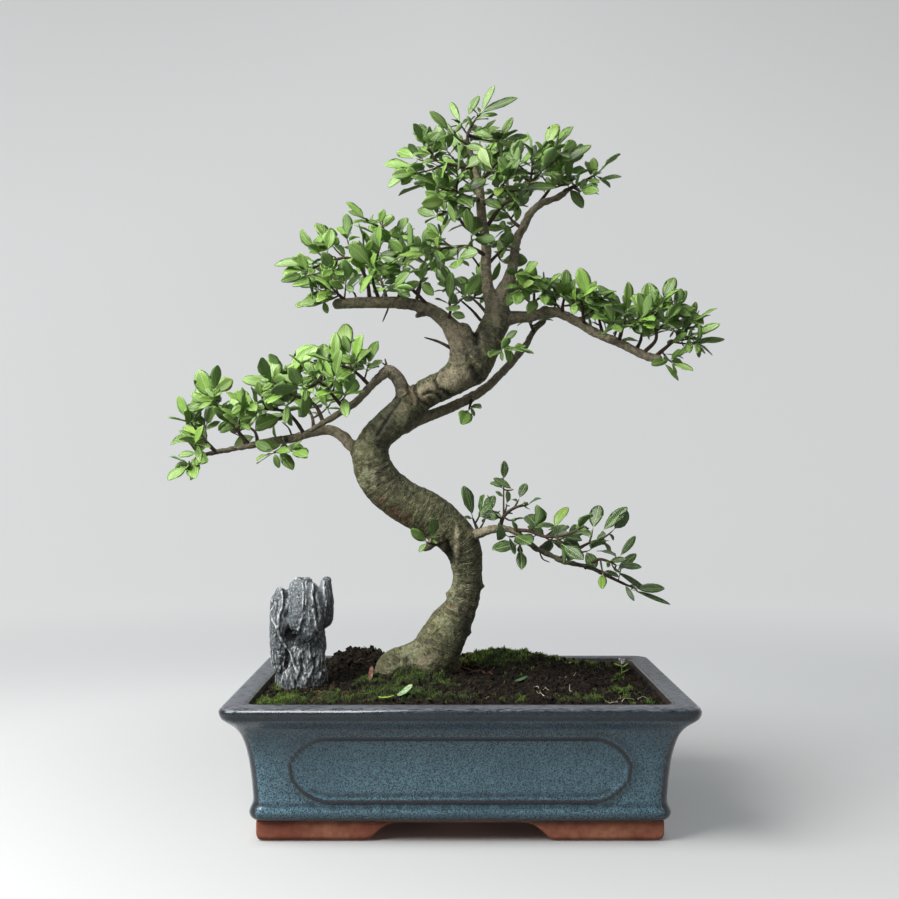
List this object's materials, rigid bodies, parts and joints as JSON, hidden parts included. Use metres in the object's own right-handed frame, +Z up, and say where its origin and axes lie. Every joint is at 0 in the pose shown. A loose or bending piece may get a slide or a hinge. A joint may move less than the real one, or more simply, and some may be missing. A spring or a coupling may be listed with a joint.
{
  "type": "potted bonsai tree",
  "caption": "Chinese elm bonsai with an S-curved trunk and small leaves in flat pads, in a low rectangular glazed pot with soil and an upright eroded stone.",
  "frame": {"origin": "on the surface that the pot stands on, under the middle of the whole outline of tree and pot; the middle of the pot is 8.6 mm to the right of it, along +X", "axes": "+Z up, +X to the right and +Y away from a viewer who faces the front of the tree"},
  "size_m": [0.3285, 0.195, 0.4224],
  "materials": {
    "glazed_pot": "mottled steel-blue gloss glaze, unglazed terracotta feet",
    "drain_mesh": "dark plastic mesh",
    "soil": "moist dark granular soil with moss, about 1000 kg per cubic metre",
    "stone": "weathered grey limestone with pale worn ridges",
    "bark": "live bark, olive and grey-brown, with lenticels and lichen",
    "leaves": "semi-gloss green leaves on brown twigs, about 1000 kg per cubic metre"
  },
  "bodies": {
    "root": {"pot": "glazed_pot", "drain_screen_left": "drain_mesh", "drain_screen_right": "drain_mesh", "soil": "soil", "stone": "stone", "trunk": "bark", "spray_arch_end": "leaves", "spray_arch_middle": "leaves", "spray_arch_top": "leaves", "spray_centre_back": "leaves", "spray_centre_front": "leaves", "spray_crown_back": "leaves", "spray_crown_back_right": "leaves", "spray_crown_droop": "leaves", "spray_crown_fork_low": "leaves", "spray_crown_fork_tip": "leaves", "spray_crown_front": "leaves", "spray_crown_left": "leaves", "spray_crown_left_front": "leaves", "spray_crown_right": "leaves", "spray_crown_right_back": "leaves", "spray_crown_top": "leaves", "spray_left_back": "leaves", "spray_left_back_outer": "leaves", "spray_left_inner": "leaves", "spray_left_middle": "leaves", "spray_left_outer": "leaves", "spray_left_tip": "leaves", "spray_left_under": "leaves", "spray_limb_top": "leaves", "spray_low_right_back": "leaves", "spray_low_right_middle": "leaves", "spray_low_right_outer": "leaves", "spray_low_right_root": "leaves", "spray_low_right_tip": "leaves", "spray_low_right_twig": "leaves", "spray_low_right_under": "leaves", "spray_low_right_up": "leaves", "spray_middle_front": "leaves", "spray_middle_left": "leaves", "spray_middle_right": "leaves", "spray_right_a": "leaves", "spray_right_b": "leaves", "spray_right_back": "leaves", "spray_right_c": "leaves", "spray_right_d": "leaves", "spray_right_e": "leaves", "spray_right_end": "leaves", "spray_right_root": "leaves", "spray_right_shoulder": "leaves", "spray_trunk_tuft": "leaves", "spray_under_limb": "leaves", "spray_upper_left_back": "leaves", "spray_upper_left_end": "leaves", "spray_upper_left_far": "leaves", "spray_upper_left_front": "leaves", "spray_upper_left_inner": "leaves", "spray_upper_left_middle": "leaves", "spray_upper_left_top": "leaves"}
  },
  "joints": []
}
